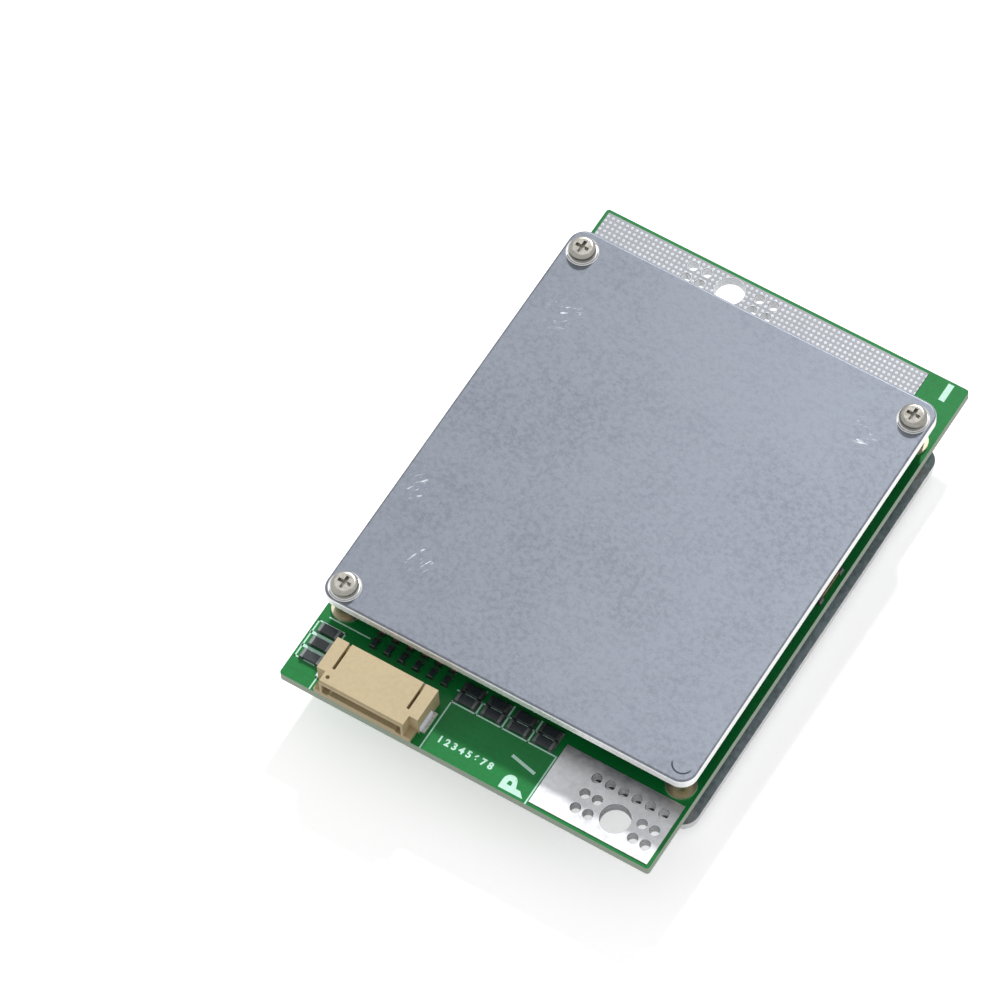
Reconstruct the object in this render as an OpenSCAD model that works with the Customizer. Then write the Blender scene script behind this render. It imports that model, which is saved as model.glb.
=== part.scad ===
// Battery management board: a circuit board held between two aluminium heat plates.
// Millimetres, +Z up. The origin is the middle of the footprint at the lowest point,
// which is the underside of the lower screw heads. -Y is the battery end with the
// sense header, +Y is the pack end, and the components face up.

/* [Board] */
// Width of the circuit board along X
board_w = 60; // [58:0.5:70]
// Length of the circuit board along Y
board_l = 88; // [82:0.5:100]
// Thickness of the laminate
board_t = 1.6; // [1:0.1:2.4]
// Corner radius of the laminate
board_corner_r = 0.5; // [0.2:0.1:2]

/* [Heat plates] */
// Distance the plates' long edges stand back from the board's
plate_inset = 0; // [0:0.1:1]
// Bare strip of board in front of the plates
front_strip = 10.75; // [10.5:0.25:12]
// Bare strip of board behind the plates
back_strip = 7.75; // [7:0.25:10]
// Thickness of both plates
plate_t = 1.6; // [1:0.1:3]
// Corner radius of the plates
plate_corner_r = 2.5; // [1:0.1:4]
// Rounding of the plates' outer rim
plate_rim_r = 0.4; // [0.1:0.05:0.5]
// Space between the board and each plate
plate_gap = 4.8; // [4.6:0.1:7]

/* [Spacers and screws] */
// Outer diameter of the round brass spacers
spacer_d = 3.4; // [3:0.1:4.2]
// Diameter of the spacers' soldered foot
spacer_foot_d = 4.5; // [4.3:0.1:5]
// Thickness of the spacers' soldered foot
spacer_foot_t = 0.4; // [0.2:0.1:1]
// Diameter of the pilot that enters the board
spacer_pilot_d = 2.7; // [2.5:0.1:2.9]
// Thread diameter of the screws
screw_d = 2; // [1.6:0.1:2.2]
// Length of the screws under the head
screw_l = 5; // [4:0.5:6]
// Diameter of the pan heads
screw_head_d = 4; // [3.5:0.1:5]
// Height of the pan heads
screw_head_h = 1.3; // [0.8:0.1:2]
// Distance of the screws from the plates' long edges
screw_inset_side = 2.8; // [2.6:0.1:4]
// Distance of the front screws from the plates' front edge
screw_inset_front = 2.7; // [2.6:0.1:3.5]
// Distance of the back screws from the plates' back edge
screw_inset_back = 3.5; // [2.6:0.1:5]

/* [Terminals] */
// Diameter of the two large terminal holes
terminal_d = 4.5; // [3:0.1:5.2]
// Diameter of the small wire holes
wire_hole_d = 1.6; // [0.8:0.1:1.8]
// Distance of the battery terminal hole from the right edge
battery_hole_side = 7.9; // [7.4:0.1:9]
// Distance of the battery terminal hole from the front edge
battery_hole_front = 4.4; // [4:0.1:5]
// Distance of the pack terminal hole from the left edge
pack_hole_side = 22.3; // [12:0.1:40]
// Distance of the pack terminal hole from the back edge
pack_hole_back = 3.1; // [2.9:0.1:4]
// Thickness of the tinned lands
land_t = 0.12; // [0.05:0.01:0.3]
// Bare strip of board to the right of the pack land
pack_land_side = 6.4; // [2:0.2:12]

/* [Header] */
// Number of contacts in the sense header
header_ways = 8; // [4:1:8]
// Distance between neighbouring contacts
header_pitch = 1.5; // [1.2:0.05:1.5]
// Height of the header above the board
header_h = 4; // [3.6:0.1:5]
// Depth of the header along Y
header_d = 7.25; // [6.8:0.05:8]
// Distance of the header's middle from the left edge
header_side = 13.65; // [13.5:0.05:14]
// Wall thickness over the plug
header_wall = 0.8; // [0.5:0.05:1]
// Floor thickness under the plug
header_floor = 1.3; // [0.8:0.05:1.5]

/* [Components] */
// Number of MOSFETs in each row
mosfet_count = 5; // [2:1:5]
// Distance between MOSFETs in a row
mosfet_pitch = 10.8; // [10.4:0.1:11]
// Height of a MOSFET body above the board
mosfet_h = 4.4; // [4:0.1:4.5]
// Number of balance resistors in each front row
balance_count = 4; // [1:1:4]
// Width of the board that one balance resistor takes
balance_share = 0.07; // [0.065:0.001:0.07]

/* [Hidden] */
$fn = 48;

// Levels, from the floor up
bottom_plate_z = screw_head_h;
board_z = bottom_plate_z + plate_t + plate_gap;
board_top = board_z + board_t;
top_plate_z = board_top + plate_gap;

// Plate outline and the four screw places
plate_w = board_w - 2 * plate_inset;
plate_l = board_l - front_strip - back_strip;
plate_front = -board_l / 2 + front_strip;
plate_back = plate_front + plate_l;
screw_x = plate_w / 2 - screw_inset_side;
screw_front = plate_front + screw_inset_front;
screw_back = plate_back - screw_inset_back;
front_left = [-screw_x, screw_front];
front_right = [screw_x, screw_front];
back_right = [screw_x, screw_back];
back_left = [-screw_x, screw_back];
corners = [front_left, front_right, back_right, back_left];
// The top plate's front right corner is blind: it carries no screw
top_corners = [front_left, back_right, back_left];

screw_clearance = 0.4;
pilot_clearance = 0.1;
overcut = 1;
screw_point = 0.3;
thread_clearance = 0.1;

// Terminal holes and their groups of wire holes
battery_hole = [board_w / 2 - battery_hole_side, -board_l / 2 + battery_hole_front];
pack_hole = [-board_w / 2 + pack_hole_side, board_l / 2 - pack_hole_back];
battery_grid = [3.6, 2, 2.5];
pack_grid = [4.35, 2.3, 2.2];
wire_shift = -0.1;
battery_wires = wire_group(battery_hole, battery_grid);
pack_wires = wire_group(pack_hole, pack_grid);
via_row_n = 6;
via_row_pitch = 2.15;
via_row_rise = 3.95;
via_row_y = battery_hole[1] + via_row_rise;
via_row_x0 = battery_hole[0] - (via_row_n - 1) / 2 * via_row_pitch;
via_row = [for (i = [0 : via_row_n - 1]) [via_row_x0 + i * via_row_pitch, via_row_y]];

land_margin = 0.55;
land_foot_clearance = 0.35;
battery_land_right = board_w / 2 - land_margin;
battery_land_gap = 0.75;
battery_land_front = -board_l / 2 + land_margin;
battery_land_back = screw_front - spacer_foot_d / 2 - land_foot_clearance;
pack_land_left = -board_w / 2 + land_margin;
pack_land_w = board_w / 2 - pack_land_side - pack_land_left;
pack_land_back = board_l / 2 - land_margin;
pack_land_front = screw_back + spacer_foot_d / 2 + land_foot_clearance;

// Header: full-width shoulders, a slimmer nose in front and low feet beside the nose
header_x = -board_w / 2 + header_side;
header_front = -board_l / 2;
header_back = header_front + header_d;
header_span = (header_ways - 1) * header_pitch;
header_cavity_w = header_span + 2.4;
header_side_wall = 0.4;
header_nose_w = header_cavity_w + 2 * header_side_wall;
header_shoulder_w = header_span + 6;
header_shoulder_front = header_front + 1.8;
header_foot_w = header_shoulder_w - 0.7;
header_foot_h = 1;
header_back_wall = 1.1;
header_lip = 0.3;
header_slit_w = 0.45;
header_slit_l = 4.6;
header_slit_x = header_span / 2 + 0.83;
header_vent_d = 0.6;
header_vent_y = header_front + 1.2;
header_keyway = [0.9, 0.4];
header_pin = 0.5;
header_pin_z = (header_h - header_wall + header_floor) / 2;
header_pin_tip = 1.4;
header_pin_knee = 0.35;
header_pin_foot = 1.1;
tab_t = 0.3;
tab_seat = 0.4;
tab_h = 1.5;
tab_l = 3.6;
tab_reach = 0.7;
tab_y = header_shoulder_front + 0.3 + tab_l / 2;

// MOSFET package
fet_w = 10;
fet_l = 8.8;
fet_base = 0.1;
fet_tab_t = 1.3;
fet_tab_reach = 1.5;
fet_tab_clip = 1;
fet_draft = 0.35;
fet_mark = [1.6, 0.12];
fet_lead_pitch = 2.54;
fet_lead_w = 0.8;
fet_lead_t = 0.5;
fet_lead_z = 2.4;
fet_lead_knee = 1.3;
fet_lead_heel = 2.5;
fet_lead_reach = 4.6;
fet_stub = [1.2, 1];

// Small parts, as [length, width, height]
chip_1206 = [3.1, 1.5, 0.55];
chip_0603 = [1.6, 0.8, 0.5];
chip_2512 = [6.4, 3.2, 0.8];
chip_end = 0.14;
end_wrap = 0.03;
transistor = [2.9, 1.3, 1];
regulator = [4.4, 2.4, 1.5];
monitor = [10.2, 5.3, 1.8];
stand_off = 0.1;
package_draft = 0.12;
lead_knee = 0.35;
lead_heel = 0.5;
// Leads as [row pitch, reach, thickness, width]
transistor_lead = [1.9, 0.55, 0.13, 0.42];
regulator_lead = [1.5, 0.8, 0.35, 0.45];
regulator_tab_w = 1.7;
monitor_lead = [0.65, 1.25, 0.18, 0.3];
monitor_mark = [0.9, 0.1];
monitor_mark_at = [1, 1.2];
balance_rows_y = [plate_front - 1.35, plate_front + 0.42];
balance_pitch = board_w * balance_share;
balance_gap = 0.3;
balance_x0 = header_x + header_shoulder_w / 2 + tab_reach + balance_gap + balance_pitch / 2;
battery_land_left = balance_x0 + (balance_count - 0.5) * balance_pitch + battery_land_gap;
battery_land_w = battery_land_right - battery_land_left;
sense_x = -board_w / 2 + 2.75;
sense_y0 = plate_front - 6.5;
sense_pitch = 2.35;
sense_count = 3;
filter_pitch = 2.35;
filter_count = 6;
filter_x0 = -board_w / 2 + 9.1;
filter_resistor_y = plate_front - 0.05;
filter_capacitor_y = plate_front + 2.2;
transistor_y = plate_front + 5.6;
transistor_pitch = 3.6;
transistor_count = 7;
transistor_x0 = -board_w / 2 + 8.4;
regulator_at = [-board_w / 2 + 4.8, plate_front + 8.1];
monitor_at = [-board_w / 2 + 20, plate_front + 10.9];
monitor_pins = 14;
shunt_count = 4;
shunt_pitch = 4.6;
shunt_x0 = board_w / 2 - 2.4;

// Rows along Y: the control parts, discharge MOSFETs, shunts, charge MOSFETs, and the room left over
control_l = 15.4;
discharge_y = plate_front + control_l + fet_lead_reach + fet_l / 2;
fet_row_l = fet_lead_reach + fet_l + fet_tab_reach;
rows_slack = plate_l - control_l - 2 * fet_row_l - chip_2512[0];
slack_before_shunts = rows_slack * 0.36;
slack_after_shunts = rows_slack * 0.08;
shunt_y = discharge_y + fet_l / 2 + fet_tab_reach + slack_before_shunts + chip_2512[0] / 2;
charge_y = shunt_y + chip_2512[0] / 2 + slack_after_shunts + fet_tab_reach + fet_l / 2;
thermal_margin = 1.4;
thermal_corner_r = 0.8;

// Two by two wire holes on each side of a terminal hole, from [first offset, pitch along X, along Y]
function wire_group(at, grid) =
    [for (side = [-1, 1], step = [0, 1], row = [-0.5, 0.5])
        [at[0] + side * (grid[0] + step * grid[1]), at[1] + row * grid[2] + wire_shift]];

// Unit direction of each segment of a path, and the mitred sides of a strip along it
function unit(v) = v / norm(v);
function segment(path, i) = unit(path[i + 1] - path[i]);
function mitre(path, i) =
    let (last = len(path) - 1,
         a = segment(path, max(i - 1, 0)),
         b = segment(path, min(i, last - 1)),
         n = unit([-a[1], a[0]] + [-b[1], b[0]]))
    n / (n * [-a[1], a[0]]);
function strip_outline(path, t) =
    concat([for (i = [0 : len(path) - 1]) path[i] + mitre(path, i) * t / 2],
           [for (i = [len(path) - 1 : -1 : 0]) path[i] - mitre(path, i) * t / 2]);

// A metal strip of thickness t and width w, bent along a path in the YZ plane
module bent_strip(path, t, w) {
    rotate([90, 0, 90]) linear_extrude(w, center = true) polygon(strip_outline(path, t));
}

// Half profile of a slab whose upper rim is rounded by e, reaching out to r
module rim_profile(r, t, e) {
    square([r - e, t]);
    square([r, t - e]);
    translate([r - e, t - e]) circle(e);
}

// A rectangular slab with round corners and a rounded upper rim
module rimmed_slab(w, l, t, r, e) {
    for (x = [r - w / 2, w / 2 - r], y = [r - l / 2, l / 2 - r])
        translate([x, y, 0]) rotate_extrude() rim_profile(r, t, e);
    for (turn = [0, 180])
        rotate(turn) {
            translate([0, l / 2 - r, 0]) rotate([90, 0, 90])
                linear_extrude(w - 2 * r, center = true) rim_profile(r, t, e);
            translate([w / 2 - r, 0, 0]) rotate([90, 0, 0])
                linear_extrude(l - 2 * r, center = true) rim_profile(r, t, e);
        }
    translate([-w / 2 + r, -l / 2 + r, 0]) cube([w - 2 * r, l - 2 * r, t]);
}

// A rectangle with round corners
module round_rect(w, l, r) {
    square([w - 2 * r, l], center = true);
    square([w, l - 2 * r], center = true);
    for (x = [r - w / 2, w / 2 - r], y = [r - l / 2, l / 2 - r])
        translate([x, y]) circle(r);
}

module drill(places, d, z, h) {
    for (p = places)
        translate([p[0], p[1], z]) cylinder(d = d, h = h);
}

// Terminal and wire holes, shared by the laminate and the lands
module terminal_holes(z, h) {
    drill([battery_hole, pack_hole], terminal_d, z, h);
    drill(battery_wires, wire_hole_d, z, h);
    drill(pack_wires, wire_hole_d, z, h);
    drill(via_row, wire_hole_d, z, h);
}

module circuit_board() {
    color([0.05, 0.36, 0.2])
    difference() {
        translate([0, 0, board_z]) linear_extrude(board_t) round_rect(board_w, board_l, board_corner_r);
        terminal_holes(board_z - overcut, board_t + 2 * overcut);
        drill(corners, spacer_pilot_d + pilot_clearance, board_z - overcut, board_t + 2 * overcut);
    }
}

// The same land on both faces of the board
module on_both_faces() {
    translate([0, 0, board_top]) children();
    translate([0, 0, board_z - land_t]) children();
}

module battery_lands() {
    color([0.66, 0.68, 0.7])
    difference() {
        on_both_faces()
            translate([battery_land_left, battery_land_front, 0])
                cube([battery_land_w, battery_land_back - battery_land_front, land_t]);
        terminal_holes(board_z - overcut, board_t + 2 * overcut);
    }
}

module pack_lands() {
    color([0.5, 0.52, 0.53])
    difference() {
        on_both_faces()
            translate([pack_land_left, pack_land_front, 0])
                cube([pack_land_w, pack_land_back - pack_land_front, land_t]);
        terminal_holes(board_z - overcut, board_t + 2 * overcut);
    }
}

module heat_plate(holes) {
    difference() {
        translate([0, (plate_front + plate_back) / 2, 0])
            rimmed_slab(plate_w, plate_l, plate_t, plate_corner_r, plate_rim_r);
        drill(holes, screw_d + screw_clearance, -overcut, plate_t + 2 * overcut);
    }
}

module top_heat_plate() {
    color([0.62, 0.64, 0.7]) translate([0, 0, top_plate_z]) heat_plate(top_corners);
}

module bottom_heat_plate() {
    color([0.6, 0.62, 0.66])
    translate([0, 0, bottom_plate_z + plate_t]) mirror([0, 0, 1]) heat_plate(corners);
}

// Pan head screw with a cross recess, head up, seated at z = 0
module pan_screw() {
    difference() {
        union() {
            rotate_extrude() pan_profile();
            translate([0, 0, screw_point - screw_l]) cylinder(d = screw_d, h = screw_l - screw_point);
            translate([0, 0, -screw_l])
                cylinder(d1 = screw_d - 2 * screw_point, d2 = screw_d, h = screw_point);
        }
        for (turn = [0, 90])
            rotate(turn) translate([0, 0, screw_head_h])
                cube([screw_head_d * 0.52, screw_head_d * 0.13, screw_head_h], center = true);
    }
}

// Half profile of the pan head: a flat crown with a rounded shoulder
module pan_profile() {
    rim_profile(screw_head_d / 2, screw_head_h, screw_head_h / 2);
}

module top_screws() {
    color([0.55, 0.54, 0.52])
    for (p = top_corners)
        translate([p[0], p[1], top_plate_z + plate_t]) pan_screw();
}

module bottom_screws() {
    color([0.55, 0.54, 0.52])
    for (p = corners)
        translate([p[0], p[1], bottom_plate_z]) mirror([0, 0, 1]) pan_screw();
}

// Threaded brass spacer with a soldered foot and a pilot in the board, foot at z = 0
module spacer() {
    pilot_l = board_t / 2;
    difference() {
        union() {
            cylinder(d = spacer_d, h = plate_gap);
            cylinder(d = spacer_foot_d, h = spacer_foot_t);
            translate([0, 0, -pilot_l]) cylinder(d = spacer_pilot_d, h = pilot_l);
        }
        translate([0, 0, -pilot_l - overcut])
            cylinder(d = screw_d + thread_clearance, h = plate_gap + pilot_l + 2 * overcut);
    }
}

module upper_spacers() {
    color([0.72, 0.62, 0.42])
    for (p = corners)
        translate([p[0], p[1], board_top]) spacer();
}

module lower_spacers() {
    color([0.72, 0.62, 0.42])
    for (p = corners)
        translate([p[0], p[1], board_z]) mirror([0, 0, 1]) spacer();
}

// Places its children on the underside of the board, mirrored from the top
module underside() {
    translate([0, 0, board_z]) mirror([0, 0, 1]) translate([0, 0, -board_top]) children();
}

module thermal_pad() {
    pad_w = (mosfet_count - 1) * mosfet_pitch + fet_w + 2 * thermal_margin;
    pad_l = charge_y - discharge_y + fet_l + 2 * thermal_margin;
    translate([0, (discharge_y + charge_y) / 2, board_top + mosfet_h])
        linear_extrude(plate_gap - mosfet_h) round_rect(pad_w, pad_l, thermal_corner_r);
}

module upper_thermal_pad() {
    color([0.68, 0.7, 0.72]) thermal_pad();
}

module lower_thermal_pad() {
    color([0.68, 0.7, 0.72]) underside() thermal_pad();
}

// Moulded power package with its leads toward -Y, standing on z = 0
module fet_body() {
    back = fet_l / 2;
    rotate([90, 0, 90]) linear_extrude(fet_w, center = true)
        polygon([[-back, fet_base], [-back + fet_tab_reach, fet_base], [-back + fet_tab_reach, fet_tab_t],
                 [back, fet_tab_t], [back, fet_lead_z], [back - fet_draft, mosfet_h],
                 [-back + fet_draft, mosfet_h], [-back, fet_lead_z]]);
}

// The moulding with its round ejector mark
module fet_moulding() {
    difference() {
        fet_body();
        translate([fet_w / 4, fet_l / 4, mosfet_h - fet_mark[1]]) cylinder(d = fet_mark[0], h = overcut);
    }
}

// Drain tab, clipped middle lead and the two gull wing leads
module fet_frame() {
    front = -fet_l / 2;
    tab_front = front + fet_tab_reach;
    tab_back = fet_l / 2 + fet_tab_reach;
    side = fet_w / 2;
    linear_extrude(fet_tab_t)
        polygon([[-side, tab_front], [side, tab_front], [side, tab_back - fet_tab_clip],
                 [side - fet_tab_clip, tab_back], [fet_tab_clip - side, tab_back],
                 [-side, tab_back - fet_tab_clip]]);
    for (x = [-fet_lead_pitch, fet_lead_pitch])
        translate([x, 0, 0])
            bent_strip([[front, fet_lead_z], [front - fet_lead_knee, fet_lead_z],
                        [front - fet_lead_heel, fet_lead_t / 2], [front - fet_lead_reach, fet_lead_t / 2]],
                       fet_lead_t, fet_lead_w);
    translate([0, front - fet_stub[1] / 2, fet_lead_z])
        cube([fet_stub[0], fet_stub[1], fet_lead_t], center = true);
}

module fet_row(y, turn) {
    for (i = [0 : mosfet_count - 1])
        translate([(i - (mosfet_count - 1) / 2) * mosfet_pitch, y, board_top]) rotate(turn) children();
}

module upper_discharge_mosfets() {
    color([0.09, 0.09, 0.1]) fet_row(discharge_y, 0) fet_moulding();
}

module upper_discharge_leads() {
    color([0.74, 0.75, 0.76]) fet_row(discharge_y, 0) fet_frame();
}

module upper_charge_mosfets() {
    color([0.09, 0.09, 0.1]) fet_row(charge_y, 180) fet_moulding();
}

module upper_charge_leads() {
    color([0.74, 0.75, 0.76]) fet_row(charge_y, 180) fet_frame();
}

module lower_discharge_mosfets() {
    color([0.09, 0.09, 0.1]) underside() fet_row(discharge_y, 0) fet_moulding();
}

module lower_discharge_leads() {
    color([0.74, 0.75, 0.76]) underside() fet_row(discharge_y, 0) fet_frame();
}

module lower_charge_mosfets() {
    color([0.09, 0.09, 0.1]) underside() fet_row(charge_y, 180) fet_moulding();
}

module lower_charge_leads() {
    color([0.74, 0.75, 0.76]) underside() fet_row(charge_y, 180) fet_frame();
}

// Header outline seen from above: slim nose and full-width shoulders
module header_plan() {
    translate([-header_nose_w / 2, header_front]) square([header_nose_w, header_d]);
    translate([-header_shoulder_w / 2, header_shoulder_front])
        square([header_shoulder_w, header_back - header_shoulder_front]);
}

// The plug's cavity seen from the front, with a keyway low down at each end
module header_mouth() {
    roof = header_h - header_wall;
    translate([-header_cavity_w / 2, header_floor]) square([header_cavity_w, roof - header_floor]);
    for (x = [-header_cavity_w / 2, header_cavity_w / 2 - header_keyway[0]])
        translate([x, header_floor - header_keyway[1]]) square([header_keyway[0], roof - header_floor]);
}

// Header block before it is hollowed: body, low feet, and a chamfer along the roof's front edge
module header_block() {
    difference() {
        union() {
            linear_extrude(header_h) header_plan();
            translate([-header_foot_w / 2, header_front, 0])
                cube([header_foot_w, header_shoulder_front - header_front + overcut, header_foot_h]);
        }
        translate([0, header_front, header_h]) rotate([45, 0, 0])
            cube([header_shoulder_w, header_lip, header_lip], center = true);
    }
}

module header_housing() {
    cavity_d = header_d - header_back_wall;
    roof = header_h - header_wall;
    roof_cut = header_wall + 2 * overcut;
    color([0.86, 0.78, 0.6])
    translate([header_x, 0, board_top])
    difference() {
        header_block();
        translate([0, header_front + cavity_d, 0]) rotate([90, 0, 0])
            linear_extrude(cavity_d + overcut) header_mouth();
        // Locking slits in the roof, open at the back
        for (side = [-1, 1])
            translate([side * header_slit_x - header_slit_w / 2, header_back - header_slit_l, roof])
                cube([header_slit_w, header_slit_l + overcut, roof_cut]);
        // Vent in the roof ahead of the left slit
        translate([-header_slit_x, header_vent_y, roof - overcut])
            cylinder(d = header_vent_d, h = roof_cut);
        // Pin passages through the back wall
        for (i = [0 : header_ways - 1])
            translate([i * header_pitch - header_span / 2, header_back - header_back_wall / 2,
                       header_pin_z])
                cube([header_pin, header_back_wall + 2 * overcut, header_pin], center = true);
        // Pockets in the shoulders that hold the solder tabs
        for (side = [-1, 1])
            translate([side * header_shoulder_w / 2, tab_y, 0])
                cube([2 * tab_seat, tab_l, 2 * tab_h], center = true);
    }
}

module header_contacts() {
    knee_y = header_back + header_pin_knee;
    color([0.8, 0.79, 0.74])
    for (i = [0 : header_ways - 1])
        translate([header_x + i * header_pitch - header_span / 2, 0, board_top])
            bent_strip([[header_front + header_pin_tip, header_pin_z], [knee_y, header_pin_z],
                        [knee_y, header_pin / 2], [knee_y + header_pin_foot, header_pin / 2]],
                       header_pin, header_pin);
}

// Bent solder tabs that stand in the shoulders' pockets
module header_tabs() {
    inner = header_shoulder_w / 2 - tab_seat + tab_t / 2;
    outer = header_shoulder_w / 2 + tab_reach;
    color([0.78, 0.78, 0.76])
    translate([header_x, tab_y, board_top])
        for (turn = [90, -90])
            rotate(turn)
                bent_strip([[-inner, tab_h], [-inner, tab_t / 2], [-outer, tab_t / 2]], tab_t, tab_l);
}

// A chip part lies along X at z = 0: the ceramic body, then its two metal ends
module chip_body(size) {
    end_l = size[0] * chip_end;
    translate([0, 0, size[2] / 2 + end_wrap])
        cube([size[0] - 2 * end_l, size[1] - 2 * end_wrap, size[2]], center = true);
}

module chip_ends(size) {
    end_l = size[0] * chip_end;
    for (side = [-1, 1])
        translate([side * (size[0] - end_l) / 2, 0, size[2] / 2 + end_wrap])
            cube([end_l, size[1], size[2] + 2 * end_wrap], center = true);
}

module balance_places() {
    for (y = balance_rows_y, i = [0 : balance_count - 1])
        translate([balance_x0 + i * balance_pitch, y, board_top]) children();
}

module sense_places() {
    for (i = [0 : sense_count - 1])
        translate([sense_x, sense_y0 + i * sense_pitch, board_top]) children();
}

module filter_places(y) {
    for (i = [0 : filter_count - 1])
        translate([filter_x0 + i * filter_pitch, y, board_top]) rotate(90) children();
}

module shunt_places() {
    for (i = [0 : shunt_count - 1])
        translate([shunt_x0 - i * shunt_pitch, shunt_y, board_top]) rotate(90) children();
}

module balance_resistors() {
    color([0.1, 0.12, 0.13]) balance_places() chip_body(chip_1206);
}

module balance_resistor_ends() {
    color([0.7, 0.71, 0.72]) balance_places() chip_ends(chip_1206);
}

module sense_resistors() {
    color([0.1, 0.12, 0.13]) sense_places() chip_body(chip_1206);
}

module sense_resistor_ends() {
    color([0.7, 0.71, 0.72]) sense_places() chip_ends(chip_1206);
}

module filter_resistors() {
    color([0.1, 0.12, 0.13]) filter_places(filter_resistor_y) chip_body(chip_0603);
}

module filter_resistor_ends() {
    color([0.7, 0.71, 0.72]) filter_places(filter_resistor_y) chip_ends(chip_0603);
}

module filter_capacitors() {
    color([0.55, 0.45, 0.33]) filter_places(filter_capacitor_y) chip_body(chip_0603);
}

module filter_capacitor_ends() {
    color([0.7, 0.71, 0.72]) filter_places(filter_capacitor_y) chip_ends(chip_0603);
}

module current_shunts() {
    color([0.5, 0.46, 0.36]) shunt_places() chip_body(chip_2512);
}

module current_shunt_ends() {
    color([0.7, 0.71, 0.72]) shunt_places() chip_ends(chip_2512);
}

// Moulded package with drafted long sides, along X, clear of the board by the lead's stand-off
module moulded_package(w, l, h) {
    middle = (h + stand_off) / 2;
    draft = (h - stand_off) * package_draft;
    rotate([90, 0, 90]) linear_extrude(w, center = true)
        polygon([[draft - l / 2, stand_off], [l / 2 - draft, stand_off], [l / 2, middle],
                 [l / 2 - draft, h], [draft - l / 2, h], [-l / 2, middle]]);
}

// Gull wing lead that leaves a package of [width, length, height] toward -Y
module gull_lead(package, lead, w) {
    edge = -package[1] / 2;
    reach = lead[1];
    t = lead[2];
    middle = (package[2] + stand_off) / 2;
    bent_strip([[edge, middle], [edge - reach * lead_knee, middle],
                [edge - reach * lead_heel, t / 2], [edge - reach, t / 2]], t, w);
}

module transistor_places() {
    for (i = [0 : transistor_count - 1])
        translate([transistor_x0 + i * transistor_pitch, transistor_y, board_top]) children();
}

module balance_transistors() {
    color([0.1, 0.1, 0.11])
    transistor_places() moulded_package(transistor[0], transistor[1], transistor[2]);
}

module balance_transistor_leads() {
    color([0.74, 0.75, 0.76])
    transistor_places() {
        for (x = [-0.5, 0.5])
            translate([x * transistor_lead[0], 0, 0])
                gull_lead(transistor, transistor_lead, transistor_lead[3]);
        rotate(180) gull_lead(transistor, transistor_lead, transistor_lead[3]);
    }
}

module supply_regulator() {
    color([0.13, 0.14, 0.15])
    translate([regulator_at[0], regulator_at[1], board_top])
        moulded_package(regulator[0], regulator[1], regulator[2]);
}

module supply_regulator_leads() {
    color([0.74, 0.75, 0.76])
    translate([regulator_at[0], regulator_at[1], board_top]) {
        for (i = [-1 : 1])
            translate([i * regulator_lead[0], 0, 0])
                gull_lead(regulator, regulator_lead, regulator_lead[3]);
        rotate(180) gull_lead(regulator, regulator_lead, regulator_tab_w);
    }
}

module monitor_chip() {
    mark = monitor_mark_at - [monitor[0], monitor[1]] / 2;
    color([0.1, 0.1, 0.11])
    translate([monitor_at[0], monitor_at[1], board_top])
        difference() {
            moulded_package(monitor[0], monitor[1], monitor[2]);
            translate([mark[0], mark[1], monitor[2] - monitor_mark[1]])
                cylinder(d = monitor_mark[0], h = overcut);
        }
}

module monitor_chip_leads() {
    color([0.74, 0.75, 0.76])
    translate([monitor_at[0], monitor_at[1], board_top])
        for (turn = [0, 180], i = [0 : monitor_pins - 1])
            rotate(turn) translate([(i - (monitor_pins - 1) / 2) * monitor_lead[0], 0, 0])
                gull_lead(monitor, monitor_lead, monitor_lead[3]);
}

circuit_board();
battery_lands();
pack_lands();
top_heat_plate();
bottom_heat_plate();
top_screws();
bottom_screws();
upper_spacers();
lower_spacers();
upper_thermal_pad();
lower_thermal_pad();
upper_discharge_mosfets();
upper_discharge_leads();
upper_charge_mosfets();
upper_charge_leads();
lower_discharge_mosfets();
lower_discharge_leads();
lower_charge_mosfets();
lower_charge_leads();
header_housing();
header_contacts();
header_tabs();
balance_resistors();
balance_resistor_ends();
sense_resistors();
sense_resistor_ends();
filter_resistors();
filter_resistor_ends();
filter_capacitors();
filter_capacitor_ends();
balance_transistors();
balance_transistor_leads();
supply_regulator();
supply_regulator_leads();
monitor_chip();
monitor_chip_leads();
current_shunts();
current_shunt_ends();
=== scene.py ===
"""Looks of the battery management board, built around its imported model.

Everything is in metres in the model's own frame: the origin is under the middle of the
board at the lowest point, -Y is the battery end and +Z is up.
"""
import math

import bmesh
import bpy
from bpy.props import FloatProperty, FloatVectorProperty, PointerProperty
from mathutils import Matrix, Vector


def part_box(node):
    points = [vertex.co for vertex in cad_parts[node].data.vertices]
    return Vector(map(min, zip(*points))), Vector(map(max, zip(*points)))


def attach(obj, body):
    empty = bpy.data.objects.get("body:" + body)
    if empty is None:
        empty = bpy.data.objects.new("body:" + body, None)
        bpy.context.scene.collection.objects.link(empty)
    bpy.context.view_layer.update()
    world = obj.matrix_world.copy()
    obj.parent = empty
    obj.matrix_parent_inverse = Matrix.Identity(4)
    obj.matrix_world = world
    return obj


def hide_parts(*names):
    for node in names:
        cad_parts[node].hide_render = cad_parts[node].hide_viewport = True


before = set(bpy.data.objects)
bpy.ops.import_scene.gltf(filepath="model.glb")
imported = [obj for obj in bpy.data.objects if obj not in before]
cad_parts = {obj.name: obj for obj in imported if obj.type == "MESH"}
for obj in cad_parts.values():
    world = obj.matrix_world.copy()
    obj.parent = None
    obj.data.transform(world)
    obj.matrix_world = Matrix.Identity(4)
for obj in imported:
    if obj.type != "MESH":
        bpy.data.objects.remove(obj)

bl_info = {
    "name": "Battery management board",
    "version": (1, 0, 0),
    "blender": (4, 5, 0),
    "location": "View3D > Sidebar > Board",
    "description": "Finishes and small details of a battery management board",
    "category": "Object",
}

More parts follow.
